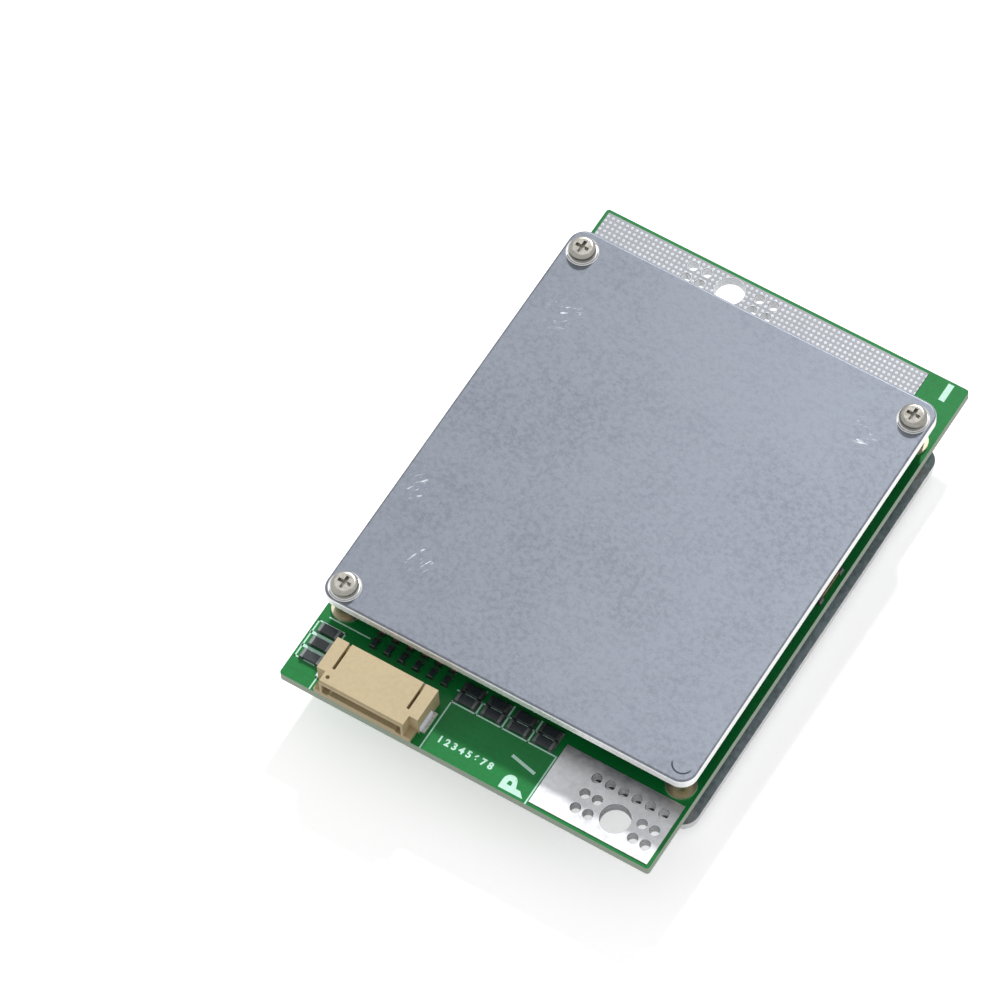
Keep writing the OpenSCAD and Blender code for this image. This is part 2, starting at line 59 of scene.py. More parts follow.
MM = 0.001
BOARD_LOW, BOARD_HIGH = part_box("circuit_board")
PLATE_LOW, PLATE_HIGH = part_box("top_heat_plate")
LAND_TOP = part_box("battery_lands")[1].z
BOARD_TOP = BOARD_HIGH.z
SPACER_FOOT = 0.4 * MM


# ---------------------------------------------------------------- settings


def colour(name, description, value):
    return FloatVectorProperty(name=name, description=description, default=value,
                               subtype="COLOR", size=3, min=0.0, max=1.0)


def length(name, description, value):
    return FloatProperty(name=name, description=description, default=value * MM,
                         unit="LENGTH", subtype="DISTANCE", min=0.0)


class BoardColours(bpy.types.PropertyGroup):
    """Colours of the finishes."""
    solder_mask: colour("Solder mask", "Green of the lacquered board", (0.003, 0.185, 0.036))
    laminate: colour("Laminate edge", "Sawn edge of the glass laminate", (0.40, 0.47, 0.38))
    silkscreen: colour("Silkscreen", "Printed lines and figures", (0.52, 0.80, 0.68))
    tin: colour("Tin", "Tinned lands and solder", (0.55, 0.56, 0.58))
    plate_dark: colour("Plate, dark", "Darker grain of the rolled plate", (0.125, 0.136, 0.160))
    plate_light: colour("Plate, light", "Lighter grain of the rolled plate", (0.200, 0.218, 0.252))
    # Sheared edge metal, set to pure white as a painted reflection of the pale room.
    plate_rim_reflection: colour("Plate rim", "Bright sheared edge of the plates", (1.0, 1.0, 1.0))
    spacer_foot: colour("Spacer foot", "Tinned foot of the spacers", (0.72, 0.70, 0.58))
    # Chip ends and joints are set far darker than the other tin: partly dull tin, partly painted shade of the
    # strips beside the plate.
    end_tin_shaded: colour("Chip ends", "Dull tin on the chips' ends", (0.17, 0.18, 0.18))
    via_tin: colour("Via tin", "Tin of the rear land", (0.30, 0.31, 0.33))
    brass: colour("Brass", "Turned spacers", (0.34, 0.29, 0.18))
    screw: colour("Screw", "Nickel plated screws", (0.34, 0.33, 0.30))
    header: colour("Header", "Moulded header housing", (0.50, 0.40, 0.235))
    package: colour("Package", "Black epoxy mouldings", (0.020, 0.021, 0.023))
    chip: colour("Chip resistor", "Glazed top of the chip resistors", (0.028, 0.036, 0.042))
    capacitor: colour("Capacitor", "Tan ceramic of the capacitors", (0.30, 0.20, 0.11))
    gap_pad: colour("Gap pad", "Silicone sheets under the plates", (0.42, 0.44, 0.46))
    shunt: colour("Shunt", "Bare alloy of the current shunts", (0.30, 0.26, 0.16))


class BoardSizes(bpy.types.PropertyGroup):
    """Sizes of the details that are added to the model."""
    silk_height: length("Print height", "How far the print stands on the board", 0.02)
    silk_line: length("Print line", "Width of the fine printed lines", 0.22)
    header_bevel: length("Header edge", "Rounding of the moulded header's edges", 0.08)
    package_bevel: length("Package edge", "Rounding of the packages' edges", 0.07)
    chip_bevel: length("Chip edge", "Rounding of the chip parts' edges", 0.04)
    solder_spread: length("Solder spread", "How far solder spreads round a chip's end", 0.22)
    plating: length("Plating", "Thickness of the plating in the holes", 0.03)
    dimple_width: length("Dimple width", "Pressed ring round each screw head", 0.42)


# ---------------------------------------------------------------- node groups


def new_group(name, inputs, outputs):
    """A shader group with named sockets; inputs are (name, type, default)."""
    group = bpy.data.node_groups.new(name, "ShaderNodeTree")
    for label, kind, default in inputs:
        socket = group.interface.new_socket(name=label, in_out="INPUT", socket_type=kind)
        if default is not None:
            socket.default_value = default
    for label, kind in outputs:
        group.interface.new_socket(name=label, in_out="OUTPUT", socket_type=kind)
    return group, group.nodes.new("NodeGroupInput"), group.nodes.new("NodeGroupOutput")


def add(tree, kind, settings=None, **inputs):
    """Adds a node, sets its properties, and sets or links its inputs by name."""
    node = tree.nodes.new(kind)
    for key, value in (settings or {}).items():
        setattr(node, key, value)
    for key, value in inputs.items():
        by_index = key[0] == "i" and key[1:].isdigit()
        socket = node.inputs[int(key[1:]) if by_index else key.replace("_", " ")]
        if isinstance(value, bpy.types.NodeSocket):
            tree.links.new(value, socket)
        else:
            socket.default_value = value
    return node


def maths(tree, operation, a, b=0.0, clamp=False):
    node = add(tree, "ShaderNodeMath", {"operation": operation, "use_clamp": clamp}, i0=a, i1=b)
    return node.outputs[0]


def ramp(tree, value, low, high):
    """0 below low and 1 above high, or the other way round when low is the greater."""
    node = add(tree, "ShaderNodeMapRange", {"interpolation_type": "SMOOTHSTEP"}, Value=value,
               From_Min=low, From_Max=high)
    return node.outputs["Result"]


def mix(tree, factor, a, b):
    node = tree.nodes.new("ShaderNodeMix")
    node.data_type = "RGBA"
    for socket, value in ((node.inputs[0], factor), (node.inputs[6], a), (node.inputs[7], b)):
        if isinstance(value, bpy.types.NodeSocket):
            tree.links.new(value, socket)
        else:
            opaque = hasattr(value, "__len__") and len(value) == 3
            socket.default_value = (*value, 1.0) if opaque else value
    return node.outputs[2]


def grain_group():
    """Fine grain over slow clouds, for rolled and cast surfaces."""
    group, source, sink = new_group(
        "surface_grain",
        [("Vector", "NodeSocketVector", None), ("Grain Scale", "NodeSocketFloat", 2000.0),
         ("Cloud Scale", "NodeSocketFloat", 40.0), ("Cloud Share", "NodeSocketFloat", 0.5)],
        [("Mask", "NodeSocketFloat"), ("Height", "NodeSocketFloat")])
    fine = add(group, "ShaderNodeTexNoise", Vector=source.outputs["Vector"],
               Scale=source.outputs["Grain Scale"], Detail=3.0, Roughness=0.65)
    cloud = add(group, "ShaderNodeTexNoise", Vector=source.outputs["Vector"],
                Scale=source.outputs["Cloud Scale"], Detail=4.0, Roughness=0.6)
    speckle = ramp(group, fine.outputs["Fac"], 0.32, 0.68)
    clouds = ramp(group, cloud.outputs["Fac"], 0.3, 0.7)
    share = source.outputs["Cloud Share"]
    kept = maths(group, "MULTIPLY", speckle, maths(group, "SUBTRACT", 1.0, share))
    mask = maths(group, "ADD", kept, maths(group, "MULTIPLY", clouds, share), clamp=True)
    group.links.new(mask, sink.inputs["Mask"])
    group.links.new(fine.outputs["Fac"], sink.inputs["Height"])
    return group


def scuff_group():
    """A patch of short bright scratches round a centre."""
    group, source, sink = new_group(
        "scuff_patch",
        [("Vector", "NodeSocketVector", None), ("Centre", "NodeSocketVector", (0, 0, 0)),
         ("Radius", "NodeSocketFloat", 0.003), ("Turn", "NodeSocketFloat", 0.0)],
        [("Mask", "NodeSocketFloat")])
    away = add(group, "ShaderNodeVectorMath", {"operation": "DISTANCE"},
               i0=source.outputs["Vector"], i1=source.outputs["Centre"])
    part = maths(group, "DIVIDE", away.outputs["Value"], source.outputs["Radius"])
    near = maths(group, "SUBTRACT", 1.0, part, clamp=True)
    turned = add(group, "ShaderNodeVectorRotate", {"rotation_type": "Z_AXIS"},
                 Vector=source.outputs["Vector"], Angle=source.outputs["Turn"])
    drawn = add(group, "ShaderNodeVectorMath", {"operation": "MULTIPLY"}, i0=turned.outputs["Vector"],
                i1=(1.0, 0.22, 1.0))
    lines = add(group, "ShaderNodeTexNoise", Vector=drawn.outputs["Vector"], Scale=2600.0, Detail=2.0,
                Distortion=0.6)
    marks = ramp(group, lines.outputs["Fac"], 0.60, 0.70)
    group.links.new(maths(group, "MULTIPLY", marks, ramp(group, near, 0.0, 0.6)), sink.inputs["Mask"])
    return group


def dots_group():
    """A regular grid of round dots, for rows of soldered vias."""
    group, source, sink = new_group(
        "dot_grid",
        [("Vector", "NodeSocketVector", None), ("Pitch", "NodeSocketFloat", 0.0008),
         ("Dot Size", "NodeSocketFloat", 0.3)],
        [("Mask", "NodeSocketFloat")])
    cells = add(group, "ShaderNodeVectorMath", {"operation": "SCALE"}, i0=source.outputs["Vector"])
    group.links.new(maths(group, "DIVIDE", 1.0, source.outputs["Pitch"]), cells.inputs["Scale"])
    flat = add(group, "ShaderNodeSeparateXYZ", Vector=cells.outputs["Vector"])
    offsets = []
    for axis in ("X", "Y"):
        part = maths(group, "FRACT", maths(group, "ADD", flat.outputs[axis], 1000.0))
        offsets.append(maths(group, "SUBTRACT", part, 0.5))
    reach = maths(group, "SQRT", maths(group, "ADD", maths(group, "POWER", offsets[0], 2.0),
                                       maths(group, "POWER", offsets[1], 2.0)))
    inside = maths(group, "SUBTRACT", source.outputs["Dot Size"], reach)
    group.links.new(ramp(group, inside, -0.06, 0.06), sink.inputs["Mask"])
    return group


GROUPS = {}


def group_named(name):
    makers = {"surface_grain": grain_group, "scuff_patch": scuff_group, "dot_grid": dots_group}
    if name not in GROUPS:
        GROUPS[name] = makers[name]()
    return GROUPS[name]


def placed(tree, name, **inputs):
    return add(tree, "ShaderNodeGroup", {"node_tree": group_named(name)}, **inputs)


# ---------------------------------------------------------------- materials


def start_material(name, **sockets):
    """A node material with a Principled shader; plain values go on its own sockets."""
    made = bpy.data.materials.new(name)
    made.use_nodes = True
    tree = made.node_tree
    shader = tree.nodes["Principled BSDF"]
    for key, value in sockets.items():
        value = (*value, 1.0) if key == "Base_Color" else value
        shader.inputs[key.replace("_", " ")].default_value = value
    place = tree.nodes.new("ShaderNodeTexCoord").outputs["Object"]
    return made, tree, shader, place


def bumped(tree, shader, height, distance, strength=0.4):
    bump = add(tree, "ShaderNodeBump", Height=height, Distance=distance, Strength=strength)
    tree.links.new(bump.outputs["Normal"], shader.inputs["Normal"])


def grained(name, base, spread, roughness, metallic=0.0, grain=2500.0, cloud=60.0, share=0.4,
            bump=0.00002, strength=0.3, **sockets):
    """A finish whose colour and gloss drift with the surface grain."""
    made, tree, shader, place = start_material(name, Metallic=metallic, **sockets)
    grain_node = placed(tree, "surface_grain", Vector=place, Grain_Scale=grain, Cloud_Scale=cloud,
                        Cloud_Share=share)
    dark = tuple(c * (1.0 - spread) for c in base)
    light = tuple(min(1.0, c * (1.0 + spread)) for c in base)
    tree.links.new(mix(tree, grain_node.outputs["Mask"], dark, light), shader.inputs["Base Color"])
    gloss = add(tree, "ShaderNodeMapRange", Value=grain_node.outputs["Mask"], To_Min=roughness * 0.85,
                To_Max=min(1.0, roughness * 1.15))
    tree.links.new(gloss.outputs["Result"], shader.inputs["Roughness"])
    bumped(tree, shader, grain_node.outputs["Height"], bump, strength)
    return made


def upright(tree):
    """1 on faces that look sideways, 0 on faces that look up or down."""
    normal = tree.nodes.new("ShaderNodeTexCoord").outputs["Normal"]
    parts = add(tree, "ShaderNodeSeparateXYZ", Vector=normal)
    return ramp(tree, maths(tree, "ABSOLUTE", parts.outputs["Z"]), 0.8, 0.35)


# Scuffed spots on the plate: x, y and radius in millimetres, then the scratches' turn
SCUFFS = ((-24.0, 22.5, 3.4, 0.9), (-20.5, -21.5, 2.8, 0.4),
          (22.0, 27.0, 3.0, 1.3), (-27.0, -12.0, 2.6, 0.7))
SCUFF_TONE = (0.42, 0.43, 0.46)
# The painted shadow of a screw head's lower rim, a dark crescent at the screwless corner: x, y, radius and
# half width in millimetres


CRESCENT = (27.5, -30.4, 1.5, 0.22)
PAINTED_SHADOW_TONE = (0.02, 0.02, 0.025)
# Painted light on the plates: their tone is painted darker towards the left and lighter towards the right, as
# the light falls.
PLATE_PAINTED_SHADE_LEFT, PLATE_PAINTED_LIGHT_RIGHT = 0.90, 1.08
PLATE_GLOSS = (0.46, 0.62)
# Painted light: the lower plate's colours are lightened, though it stands in the board's shade.
LOWER_PLATE_PAINTED_LIGHT = 2.0


def plate_material(colours, name, top_z, lift=1.0):
    """Rolled aluminium with scuffs, edges whitened as a painted reflection, a painted tone gradient and a
    painted crescent shadow.

    lift is painted light: it lightens the lower plate, which stands in the board's shade.
    """
    made, tree, shader, place = start_material(name, Metallic=1.0)
    grain_node = placed(tree, "surface_grain", Vector=place, Grain_Scale=1500.0, Cloud_Scale=55.0,
                        Cloud_Share=0.35)
    face = mix(tree, grain_node.outputs["Mask"], colours.plate_dark, colours.plate_light)
    spot = add(tree, "ShaderNodeSeparateXYZ", Vector=place)
    # Painted light: darker towards the left, lighter towards the right.
    painted_light_across = add(tree, "ShaderNodeMapRange", Value=spot.outputs["X"], From_Min=PLATE_LOW.x,
                 From_Max=PLATE_HIGH.x, To_Min=PLATE_PAINTED_SHADE_LEFT * lift, To_Max=PLATE_PAINTED_LIGHT_RIGHT * lift)
    face = add(tree, "ShaderNodeVectorMath", {"operation": "SCALE"}, i0=face, Scale=painted_light_across.outputs["Result"])
    face = face.outputs["Vector"]
    for x, y, radius, turn in SCUFFS:
        patch = placed(tree, "scuff_patch", Vector=place, Centre=(x * MM, y * MM, top_z),
                       Radius=radius * MM, Turn=turn)
        face = mix(tree, patch.outputs["Mask"], face, SCUFF_TONE)
    # Painted shadow: a dark crescent where a screw head's lower rim would cast shade.
    x, y, radius, half_width = (value * MM for value in CRESCENT)
    away = add(tree, "ShaderNodeVectorMath", {"operation": "DISTANCE"}, i0=place, i1=(x, y, top_z))
    off_ring = maths(tree, "ABSOLUTE", maths(tree, "SUBTRACT", away.outputs["Value"], radius))
    painted_shadow_ring = ramp(tree, off_ring, half_width, 0.0)
    lower = ramp(tree, spot.outputs["Y"], y, y - radius * 0.5)
    face = mix(tree, maths(tree, "MULTIPLY", painted_shadow_ring, lower), face, PAINTED_SHADOW_TONE)
    # Sideways faces take the rim colour: edge metal whitened as a painted reflection.
    side = upright(tree)
    tree.links.new(mix(tree, side, face, colours.plate_rim_reflection), shader.inputs["Base Color"])
    gloss = add(tree, "ShaderNodeMapRange", Value=grain_node.outputs["Mask"],
                To_Min=PLATE_GLOSS[0], To_Max=PLATE_GLOSS[1])
    tree.links.new(gloss.outputs["Result"], shader.inputs["Roughness"])
    bumped(tree, shader, grain_node.outputs["Height"], 0.00004, 0.35)
    return made


LACQUER_COAT = 0.12
LACQUER_ROUGHNESS = 0.40
EDGE_EXTRA_ROUGHNESS = 0.4
TRACK_SHADE = 0.15
TRACK_RELIEF = -1.5


def laminate_material(colours):
    """Glossy green lacquer over copper on the faces, pale glass fibre on the sawn edges."""
    made, tree, shader, place = start_material("green_laminate", Coat_Roughness=0.12, IOR=1.3)
    grain_node = placed(tree, "surface_grain", Vector=place, Grain_Scale=1800.0, Cloud_Scale=90.0,
                        Cloud_Share=0.6)
    mask = colours.solder_mask
    green = mix(tree, grain_node.outputs["Mask"], tuple(c * 0.86 for c in mask),
                tuple(c * 1.14 for c in mask))
    tracks = add(tree, "ShaderNodeTexBrick", {"offset": 0.37, "squash": 1.6, "squash_frequency": 3},
                 Vector=place, Scale=1.0, Mortar_Size=0.00009, Mortar_Smooth=0.2,
                 Brick_Width=0.0083, Row_Height=0.0017)
    under = maths(tree, "MULTIPLY", tracks.outputs["Fac"], TRACK_SHADE)
    green = mix(tree, under, green, tuple(c * 0.45 for c in mask))
    weave = add(tree, "ShaderNodeTexNoise", Vector=place, Scale=3200.0, Detail=2.0)
    fibre = mix(tree, weave.outputs["Fac"], tuple(c * 0.75 for c in colours.laminate), colours.laminate)
    side = upright(tree)
    tree.links.new(mix(tree, side, green, fibre), shader.inputs["Base Color"])
    coat = maths(tree, "MULTIPLY", maths(tree, "SUBTRACT", 1.0, side), LACQUER_COAT)
    tree.links.new(coat, shader.inputs["Coat Weight"])
    rough = maths(tree, "ADD", LACQUER_ROUGHNESS, maths(tree, "MULTIPLY", side, EDGE_EXTRA_ROUGHNESS))
    tree.links.new(rough, shader.inputs["Roughness"])
    relief = maths(tree, "ADD", grain_node.outputs["Height"],
                   maths(tree, "MULTIPLY", tracks.outputs["Fac"], TRACK_RELIEF))
    bumped(tree, shader, relief, 0.00001, 0.25)
    return made


def land_material(colours, name, dots):
    """Tin from the bath: soft puddled reflections, with rows of filled vias where dots is set."""
    made, tree, shader, place = start_material(name, Metallic=1.0)
    grain_node = placed(tree, "surface_grain", Vector=place, Grain_Scale=1300.0, Cloud_Scale=260.0,
                        Cloud_Share=0.55)
    tin = colours.via_tin if dots else colours.tin
    face = mix(tree, grain_node.outputs["Mask"], tuple(c * 0.82 for c in tin),
               tuple(c * 1.12 for c in tin))
    relief = grain_node.outputs["Height"]
    if dots:
        grid = placed(tree, "dot_grid", Vector=place, Pitch=0.0008, Dot_Size=0.30)
        between = tuple(c * 0.62 for c in tin)
        face = mix(tree, grid.outputs["Mask"], between, face)
        relief = maths(tree, "ADD", relief, grid.outputs["Mask"])
    tree.links.new(face, shader.inputs["Base Color"])
    gloss = add(tree, "ShaderNodeMapRange", Value=grain_node.outputs["Mask"], To_Min=0.38, To_Max=0.50)
    tree.links.new(gloss.outputs["Result"], shader.inputs["Roughness"])
    bumped(tree, shader, relief, 0.00004, 0.2)
    return made


def spacer_material(colours):
    """Turned brass above and below a tinned foot that lies on the board."""
    made, tree, shader, place = start_material("turned_brass", Metallic=1.0)
    grain_node = placed(tree, "surface_grain", Vector=place, Grain_Scale=1500.0)
    spot = add(tree, "ShaderNodeSeparateXYZ", Vector=place)
    middle, reach = (BOARD_TOP + BOARD_LOW.z) / 2, (BOARD_TOP - BOARD_LOW.z) / 2 + SPACER_FOOT
    off = maths(tree, "ABSOLUTE", maths(tree, "SUBTRACT", spot.outputs["Z"], middle))
    foot = ramp(tree, off, reach + 0.02 * MM, reach - 0.02 * MM)
    brass = mix(tree, grain_node.outputs["Mask"], tuple(c * 0.85 for c in colours.brass), colours.brass)
    tree.links.new(mix(tree, foot, brass, colours.spacer_foot), shader.inputs["Base Color"])
    tree.links.new(maths(tree, "ADD", 0.32, maths(tree, "MULTIPLY", foot, 0.2)), shader.inputs["Roughness"])
    return made


def make_materials(colours):
    """All finishes by name, made once."""
    tin = tuple(colours.tin)
    return {
        "laminate": laminate_material(colours),
        "front_land": land_material(colours, "tinned_land", False),
        "back_land": land_material(colours, "tinned_via_land", True),
        "top_plate": plate_material(colours, "top_plate_aluminium", PLATE_HIGH.z),
        "bottom_plate": plate_material(colours, "bottom_plate_aluminium",
                                       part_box("bottom_heat_plate")[0].z, LOWER_PLATE_PAINTED_LIGHT),
        "silkscreen": grained("silkscreen_ink", tuple(colours.silkscreen), 0.08, 0.55, grain=4000.0),
        "solder": grained("solder", tuple(c * 1.15 for c in tin), 0.12, 0.26, 1.0, grain=3000.0),
        # Painted shade: chip ends and joints darkened beyond dull tin.
        "chip_end": grained("shade_darkened_tin", tuple(colours.end_tin_shaded), 0.15, 0.42, 1.0, grain=3500.0),
        "lead": grained("tinned_lead_frame", tuple(c * 1.2 for c in tin), 0.08, 0.30, 1.0, grain=3500.0),
        "brass": spacer_material(colours),
        "screw": grained("nickel_plate", tuple(colours.screw), 0.16, 0.30, 1.0, grain=1800.0),
        "dimple": grained("pressed_ring", (0.66, 0.67, 0.68), 0.10, 0.34, 1.0, grain=1800.0),
        "header": grained("header_nylon", tuple(colours.header), 0.07, 0.52, grain=1500.0, cloud=140.0,
                          bump=0.00003),
        "package": grained("package_epoxy", tuple(colours.package), 0.25, 0.58, grain=2200.0, bump=0.00003),
        "chip": grained("resistor_glaze", tuple(colours.chip), 0.25, 0.30, grain=3000.0),
        "capacitor": grained("capacitor_ceramic", tuple(colours.capacitor), 0.12, 0.38, grain=3000.0),
        "gap_pad": grained("gap_pad_silicone", tuple(colours.gap_pad), 0.10, 0.85, grain=1200.0,
                           bump=0.00006),
        "shunt": grained("shunt_alloy", tuple(colours.shunt), 0.12, 0.42, 1.0, grain=1800.0),
    }


FINISH = {}


def finish_named(context, name):
    if not FINISH:
        FINISH.update(make_materials(context.scene.board_colours))
    return FINISH[name]


# ---------------------------------------------------------------- mesh helpers


def dress(context, finish, *nodes):
    """Gives CAD nodes a finish; their meshes stay as they are."""
    for name in nodes:
        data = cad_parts[name].data
        data.materials.clear()
        data.materials.append(finish_named(context, finish))


def piece_from(bm, name, material, replaced=()):
    """Turns a bmesh into a finished piece of the object."""
    data = bpy.data.meshes.new(name)
    bm.to_mesh(data)
    bm.free()
    data.materials.append(material)
    piece = bpy.data.objects.new(name, data)
    bpy.context.scene.collection.objects.link(piece)
    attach(piece, "root")
    if replaced:
        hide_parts(*replaced)
    return piece


def softened(context, node, name, finish, width, segments=2, angle=32.0):
    """A copy of a CAD node with its hard edges rounded, standing in for it."""
    bm = bmesh.new()
    bm.from_mesh(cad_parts[node].data)
    bmesh.ops.remove_doubles(bm, verts=bm.verts, dist=0.002 * MM)
    bmesh.ops.dissolve_limit(bm, angle_limit=math.radians(1.0), verts=bm.verts, edges=bm.edges)
    hard = [e for e in bm.edges if len(e.link_faces) == 2 and e.calc_face_angle(0.0) > math.radians(angle)]
    bmesh.ops.bevel(bm, geom=hard, offset=width, offset_type="OFFSET", affect="EDGES", segments=segments,
                    profile=0.5, material=-1, clamp_overlap=True)
    return piece_from(bm, name, finish_named(context, finish), (node,))


def block(bm, low, high):
    """Adds a box between two corners and returns its vertices."""
    low, high = Vector(low), Vector(high)
    made = bmesh.ops.create_cube(bm, size=1.0)["verts"]
    bmesh.ops.scale(bm, vec=high - low, verts=made)
    bmesh.ops.translate(bm, vec=(high + low) / 2, verts=made)
    return made


def stripe(bm, start, end, width, base, height):
    """Adds a printed line between two points in the board's plane."""
    a, b = Vector(start), Vector(end)
    along = b - a
    made = bmesh.ops.create_cube(bm, size=1.0)["verts"]
    bmesh.ops.scale(bm, vec=(along.length + width, width, height), verts=made)
    turn = Matrix.Rotation(math.atan2(along.y, along.x), 3, "Z")
    bmesh.ops.rotate(bm, cent=(0, 0, 0), matrix=turn, verts=made)
    middle = (a + b) / 2
    bmesh.ops.translate(bm, vec=(middle.x, middle.y, base + height / 2), verts=made)
    return made


def turned(bm, profile, centre, steps=40):
    """Spins an open profile of (radius, z) points about a vertical axis at centre."""
    points = [bm.verts.new((centre[0] + r, centre[1], z)) for r, z in profile]
    edges = [bm.edges.new(pair) for pair in zip(points, points[1:])]
    bmesh.ops.spin(bm, geom=points + edges, cent=(centre[0], centre[1], 0), axis=(0, 0, 1),
                   angle=math.tau, steps=steps, use_merge=True)


def centres(node):
    """The middles and half sizes of a node's separate solids, from its loose islands."""
    bm = bmesh.new()
    bm.from_mesh(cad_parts[node].data)
    bmesh.ops.remove_doubles(bm, verts=bm.verts, dist=0.002 * MM)
    left, found = set(bm.verts), []
    while left:
        stack, island = [left.pop()], []
        while stack:
            vert = stack.pop()
            island.append(vert.co.copy())
            for edge in vert.link_edges:
                other = edge.other_vert(vert)
                if other in left:
                    left.remove(other)
                    stack.append(other)
        low = Vector([min(c[i] for c in island) for i in range(3)])
        high = Vector([max(c[i] for c in island) for i in range(3)])
        found.append(((low + high) / 2, (high - low) / 2))
    bm.free()
    return sorted(found, key=lambda item: tuple(round(c, 6) for c in item[0]))


def lettering(text, name, size, at, turn, thickness, material, bold=0.0):
    """Generic printed characters as a mesh, lying on the board."""
    curve = bpy.data.curves.new(name, "FONT")
    curve.body = text
    curve.size = size
    curve.extrude = thickness / 2
    curve.offset = bold
    maker = bpy.data.objects.new(name + "_outline", curve)
    bpy.context.scene.collection.objects.link(maker)
    bpy.context.view_layer.update()
    data = bpy.data.meshes.new_from_object(maker.evaluated_get(bpy.context.evaluated_depsgraph_get()))
    bpy.data.objects.remove(maker)
    data.transform(Matrix.Translation(at) @ Matrix.Rotation(turn, 4, "Z"))
    data.name = name
    data.materials.clear()
    data.materials.append(material)
    piece = bpy.data.objects.new(name, data)
    bpy.context.scene.collection.objects.link(piece)
    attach(piece, "root")
    return piece


# ---------------------------------------------------------------- the print


# Printed lines: two ends in millimetres, then the width in units of the fine line
PRINT_LINES = (
    # header outline
    (-6.9, -35.5, -6.9, -43.9, 1.0), (-25.0, -41.7, -25.0, -43.9, 1.0),
    # frame round the three sense resistors, and the bars between them
    (-29.55, -34.1, -29.55, -40.5, 1.0), (-25.25, -34.1, -25.25, -40.5, 1.0),
    (-29.55, -40.5, -25.25, -40.5, 1.0), (-29.55, -34.1, -25.25, -34.1, 1.0),
    (-29.5, -38.58, -25.3, -38.58, 2.2), (-29.5, -36.22, -25.3, -36.22, 2.2),
    # frames round the balance resistors
    (-6.9, -35.62, 10.0, -35.62, 1.0), (-7.1, -33.65, 9.0, -33.65, 1.0),
    (-3.0, -35.6, -3.0, -33.7, 1.2), (1.2, -35.6, 1.2, -33.7, 1.2), (5.45, -35.6, 5.45, -33.7, 1.2),
    (-3.4, -33.6, -3.4, -31.9, 1.2), (1.1, -33.6, 1.1, -31.9, 1.2), (5.6, -33.6, 5.6, -31.9, 1.2),
    # edge of the battery land, and a line behind the header
    (10.15, -35.6, 10.15, -43.9, 1.0), (-28.5, -33.0, -22.0, -33.0, 1.0),
    # minus sign beside the battery letter
    (5.0, -38.5, 8.7, -39.3, 2.2),
)
POLARITY_BAR = (27.3, 41.0, 27.3, 43.1, 4.2)


class BOARD_OT_print(bpy.types.Operator):
    """Adds the printed outlines, the polarity signs and the contact numbers"""
    bl_idname = "board.silkscreen"
    bl_label = "Print"

    def execute(self, context):
        sizes = context.scene.board_sizes
        ink = finish_named(context, "silkscreen")
        bm = bmesh.new()
        for x0, y0, x1, y1, weight in (*PRINT_LINES, POLARITY_BAR):
            stripe(bm, (x0 * MM, y0 * MM), (x1 * MM, y1 * MM), sizes.silk_line * weight, BOARD_TOP,
                   sizes.silk_height)
        piece_from(bm, "print_outlines", ink)
        z = BOARD_TOP + sizes.silk_height / 2
        lettering("B", "print_battery_letter", 5.2 * MM, (9.3 * MM, -43.75 * MM, z), math.pi / 2,
                  sizes.silk_height, ink, 0.2 * MM)
        lettering("1 2 3 4 5 6 7 8", "print_contact_numbers", 1.5 * MM, (-5.5 * MM, -41.9 * MM, z), 0.0,
                  sizes.silk_height, ink, 0.06 * MM)
        return {"FINISHED"}


# ---------------------------------------------------------------- the board


TERMINALS = ((22.1, -39.6, 2.25), (-7.7, 40.9, 2.25))
WIRE_HOLE_R = 0.8
# Wire holes beside each terminal: first offset, then the steps along X and Y, in millimetres
WIRE_GROUPS = ((TERMINALS[0], 3.6, 2.0, 2.5), (TERMINALS[1], 4.35, 2.3, 2.2))
WIRE_SHIFT = 0.1
VIA_ROW_COUNT, VIA_ROW_PITCH, VIA_ROW_RISE = 6, 2.15, 3.95


def wire_holes():
    """Centres of the small plated holes, in millimetres."""
    found = []
    for (x, y, _), inner, step, rise in WIRE_GROUPS:
        for side in (-1, 1):
            for column in (0, 1):
                for row in (-0.5, 0.5):
                    found.append((x + side * (inner + column * step), y + row * rise - WIRE_SHIFT))
    x, y, _ = TERMINALS[0]
    middle = (VIA_ROW_COUNT - 1) / 2
    found += [(x + (i - middle) * VIA_ROW_PITCH, y + VIA_ROW_RISE) for i in range(VIA_ROW_COUNT)]
    return found


class BOARD_OT_board(bpy.types.Operator):
    """Finishes the laminate and its tinned lands, and plates the holes"""
    bl_idname = "board.laminate"
    bl_label = "Board and lands"

    def execute(self, context):
        sizes = context.scene.board_sizes
        dress(context, "laminate", "circuit_board")
        dress(context, "front_land", "battery_lands")
        dress(context, "back_land", "pack_lands")
        bm = bmesh.new()
        low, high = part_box("battery_lands")[0].z, LAND_TOP
        holes = [*TERMINALS, *((x, y, WIRE_HOLE_R) for x, y in wire_holes())]
        for x, y, r in holes:
            wall, skin = r * MM, sizes.plating
            lip = 2 * skin
            turned(bm, [(wall, low + lip), (wall + lip, low), (wall + lip, low - skin), (wall, low - skin),
                        (wall - skin, low + skin), (wall - skin, high - skin), (wall, high + skin),
                        (wall + lip, high + skin), (wall + lip, high), (wall, high - lip), (wall, low + lip)],
                   (x * MM, y * MM), 36)
        bmesh.ops.recalc_face_normals(bm, faces=bm.faces)
        piece_from(bm, "hole_plating", finish_named(context, "solder"))
        return {"FINISHED"}


# ---------------------------------------------------------------- plates and screws


